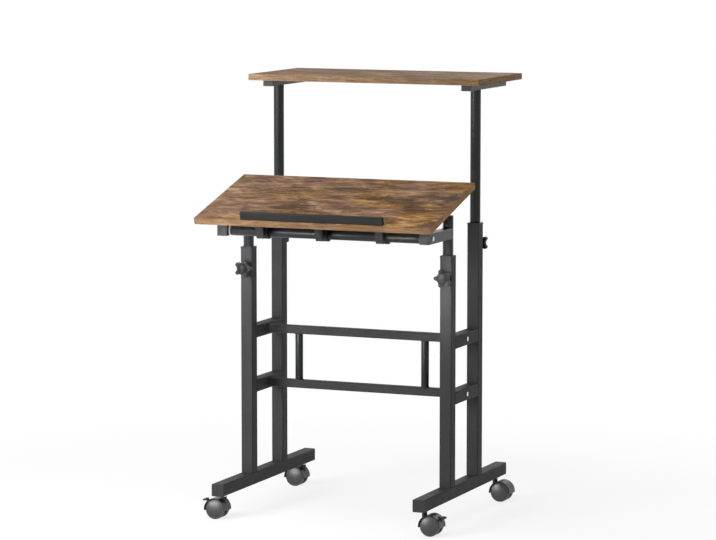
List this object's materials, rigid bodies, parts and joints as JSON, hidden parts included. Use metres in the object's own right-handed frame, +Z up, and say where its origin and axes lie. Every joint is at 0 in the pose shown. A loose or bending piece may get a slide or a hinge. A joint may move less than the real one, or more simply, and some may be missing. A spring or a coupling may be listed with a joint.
{
  "type": "height-adjustable desk",
  "caption": "Mobile standing desk: tilting work board and raised rear shelf on telescoping posts, clamped by star knobs, on swivel casters.",
  "frame": {"origin": "on the floor, midway between the left and right feet and midway along them", "axes": "+X to the user's right as the user faces the desk, +Y to the back towards the upper shelf, +Z up"},
  "size_m": [0.622, 0.6103, 1.052],
  "materials": {
    "black_steel": "matte black powder coat",
    "rustic_wood": "rustic brown wood grain foil, satin",
    "black_plastic": "matte black moulded plastic",
    "knob_plastic": "fine-textured dark grey plastic",
    "caster_hood": "black nylon, semi-gloss",
    "caster_wheel": "dark grey nylon, satin",
    "zinc_bright": "bright zinc plate",
    "zinc_dull": "dull zinc plate",
    "white_nylon": "natural white nylon"
  },
  "bodies": {
    "base_frame": {"left_foot": "black_steel", "right_foot": "black_steel", "front_left_post": "black_steel", "front_right_post": "black_steel", "rear_left_post": "black_steel", "rear_right_post": "black_steel", "left_side_rails": "black_steel", "right_side_rails": "black_steel", "upper_crossbar": "black_steel", "lower_crossbar": "black_steel", "crossbar_struts": "black_steel", "crossbar_bolts": "zinc_bright", "foot_end_caps": "black_plastic", "post_bushings": "black_plastic", "knob_nuts": "black_steel", "caster_nuts": "zinc_bright", "caster_stems": "zinc_bright"},
    "desk_lift": {"left_desk_riser": "black_steel", "right_desk_riser": "black_steel", "arm_end_caps": "black_plastic", "riser_rest_pads": "black_plastic", "desk_riser_guides": "black_plastic", "hinge_washers": "white_nylon"},
    "tilting_board": {"desk_board": "rustic_wood", "stop_bar": "black_steel", "stop_bar_screws": "zinc_dull", "hinge_tube": "black_steel", "hinge_bolts": "zinc_bright", "left_board_clamp": "black_plastic", "middle_board_clamp": "black_plastic", "right_board_clamp": "black_plastic", "clamp_screws": "zinc_dull"},
    "upper_shelf": {"upper_shelf": "rustic_wood", "left_shelf_riser": "black_steel", "right_shelf_riser": "black_steel", "shelf_bar_caps": "black_plastic", "shelf_screws": "zinc_dull", "shelf_riser_guides": "black_plastic"},
    "front_left_stud": {"front_left_stud": "zinc_dull"},
    "front_left_knob": {"front_left_knob": "knob_plastic"},
    "front_right_stud": {"front_right_stud": "zinc_dull"},
    "front_right_knob": {"front_right_knob": "knob_plastic"},
    "rear_left_stud": {"rear_left_stud": "zinc_dull"},
    "rear_left_knob": {"rear_left_knob": "knob_plastic"},
    "rear_right_stud": {"rear_right_stud": "zinc_dull"},
    "rear_right_knob": {"rear_right_knob": "knob_plastic"},
    "front_left_caster": {"front_left_hood": "caster_hood"},
    "front_left_wheels": {"front_left_wheels": "caster_wheel"},
    "front_right_caster": {"front_right_hood": "caster_hood"},
    "front_right_wheels": {"front_right_wheels": "caster_wheel"},
    "rear_left_caster": {"rear_left_hood": "caster_hood"},
    "rear_left_wheels": {"rear_left_wheels": "caster_wheel"},
    "rear_right_caster": {"rear_right_hood": "caster_hood"},
    "rear_right_wheels": {"rear_right_wheels": "caster_wheel"},
    "left_brake": {"left_brake_lever": "black_plastic"},
    "right_brake": {"right_brake_lever": "black_plastic"}
  },
  "joints": [
    {"name": "desk_height", "type": "slide", "parent": "base_frame", "child": "desk_lift", "axis": [0, 0, 1], "range_m": [-0.0395, 0.29]},
    {"name": "board_tilt", "type": "hinge", "parent": "desk_lift", "child": "tilting_board", "pos_m": [0, -0.22, 0.6945], "axis": [1, 0, 0], "range_deg": [-15.8, 44.2]},
    {"name": "shelf_height", "type": "slide", "parent": "base_frame", "child": "upper_shelf", "axis": [0, 0, 1], "range_m": [-0.3185, 0.19]},
    {"name": "front_left_clamp", "type": "slide", "parent": "base_frame", "child": "front_left_stud", "axis": [0, -1, 0], "range_m": [0, 0.0025]},
    {"name": "front_left_knob_turn", "type": "hinge", "parent": "front_left_stud", "child": "front_left_knob", "pos_m": [-0.258, -0.105, 0.5905], "axis": [0, -1, 0], "range_deg": [0, 760]},
    {"name": "front_right_clamp", "type": "slide", "parent": "base_frame", "child": "front_right_stud", "axis": [0, -1, 0], "range_m": [0, 0.0025]},
    {"name": "front_right_knob_turn", "type": "hinge", "parent": "front_right_stud", "child": "front_right_knob", "pos_m": [0.258, -0.105, 0.5905], "axis": [0, -1, 0], "range_deg": [0, 760]},
    {"name": "rear_left_clamp", "type": "slide", "parent": "base_frame", "child": "rear_left_stud", "axis": [0, 1, 0], "range_m": [0, 0.0025]},
    {"name": "rear_left_knob_turn", "type": "hinge", "parent": "rear_left_stud", "child": "rear_left_knob", "pos_m": [-0.258, 0.105, 0.6515], "axis": [0, 1, 0], "range_deg": [0, 760]},
    {"name": "rear_right_clamp", "type": "slide", "parent": "base_frame", "child": "rear_right_stud", "axis": [0, 1, 0], "range_m": [0, 0.0025]},
    {"name": "rear_right_knob_turn", "type": "hinge", "parent": "rear_right_stud", "child": "rear_right_knob", "pos_m": [0.258, 0.105, 0.6515], "axis": [0, 1, 0], "range_deg": [0, 760]},
    {"name": "front_left_swivel", "type": "hinge", "parent": "base_frame", "child": "front_left_caster", "pos_m": [-0.258, -0.236, 0.055], "axis": [0, 0, 1], "continuous": true},
    {"name": "front_left_roll", "type": "hinge", "parent": "front_left_caster", "child": "front_left_wheels", "pos_m": [-0.276, -0.236, 0.024], "axis": [0, 1, 0], "continuous": true},
    {"name": "front_right_swivel", "type": "hinge", "parent": "base_frame", "child": "front_right_caster", "pos_m": [0.258, -0.236, 0.055], "axis": [0, 0, 1], "continuous": true},
    {"name": "front_right_roll", "type": "hinge", "parent": "front_right_caster", "child": "front_right_wheels", "pos_m": [0.276, -0.236, 0.024], "axis": [0, 1, 0], "continuous": true},
    {"name": "rear_left_swivel", "type": "hinge", "parent": "base_frame", "child": "rear_left_caster", "pos_m": [-0.258, 0.236, 0.055], "axis": [0, 0, 1], "continuous": true},
    {"name": "rear_left_roll", "type": "hinge", "parent": "rear_left_caster", "child": "rear_left_wheels", "pos_m": [-0.276, 0.236, 0.024], "axis": [0, 1, 0], "continuous": true},
    {"name": "rear_right_swivel", "type": "hinge", "parent": "base_frame", "child": "rear_right_caster", "pos_m": [0.258, 0.236, 0.055], "axis": [0, 0, 1], "continuous": true},
    {"name": "rear_right_roll", "type": "hinge", "parent": "rear_right_caster", "child": "rear_right_wheels", "pos_m": [0.276, 0.236, 0.024], "axis": [0, 1, 0], "continuous": true},
    {"name": "left_brake_press", "type": "hinge", "parent": "front_left_caster", "child": "left_brake", "pos_m": [-0.29232, -0.236, 0.03745], "axis": [0, -1, 0], "range_deg": [0, 20]},
    {"name": "right_brake_press", "type": "hinge", "parent": "front_right_caster", "child": "right_brake", "pos_m": [0.29232, -0.236, 0.03745], "axis": [0, 1, 0], "range_deg": [0, 20]}
  ],
  "couplings": [
    {"joint": "front_left_knob_turn", "follows": "front_left_clamp", "rad_per_m": 5026.5},
    {"joint": "front_right_knob_turn", "follows": "front_right_clamp", "rad_per_m": 5026.5},
    {"joint": "rear_left_knob_turn", "follows": "rear_left_clamp", "rad_per_m": 5026.5},
    {"joint": "rear_right_knob_turn", "follows": "rear_right_clamp", "rad_per_m": 5026.5}
  ]
}
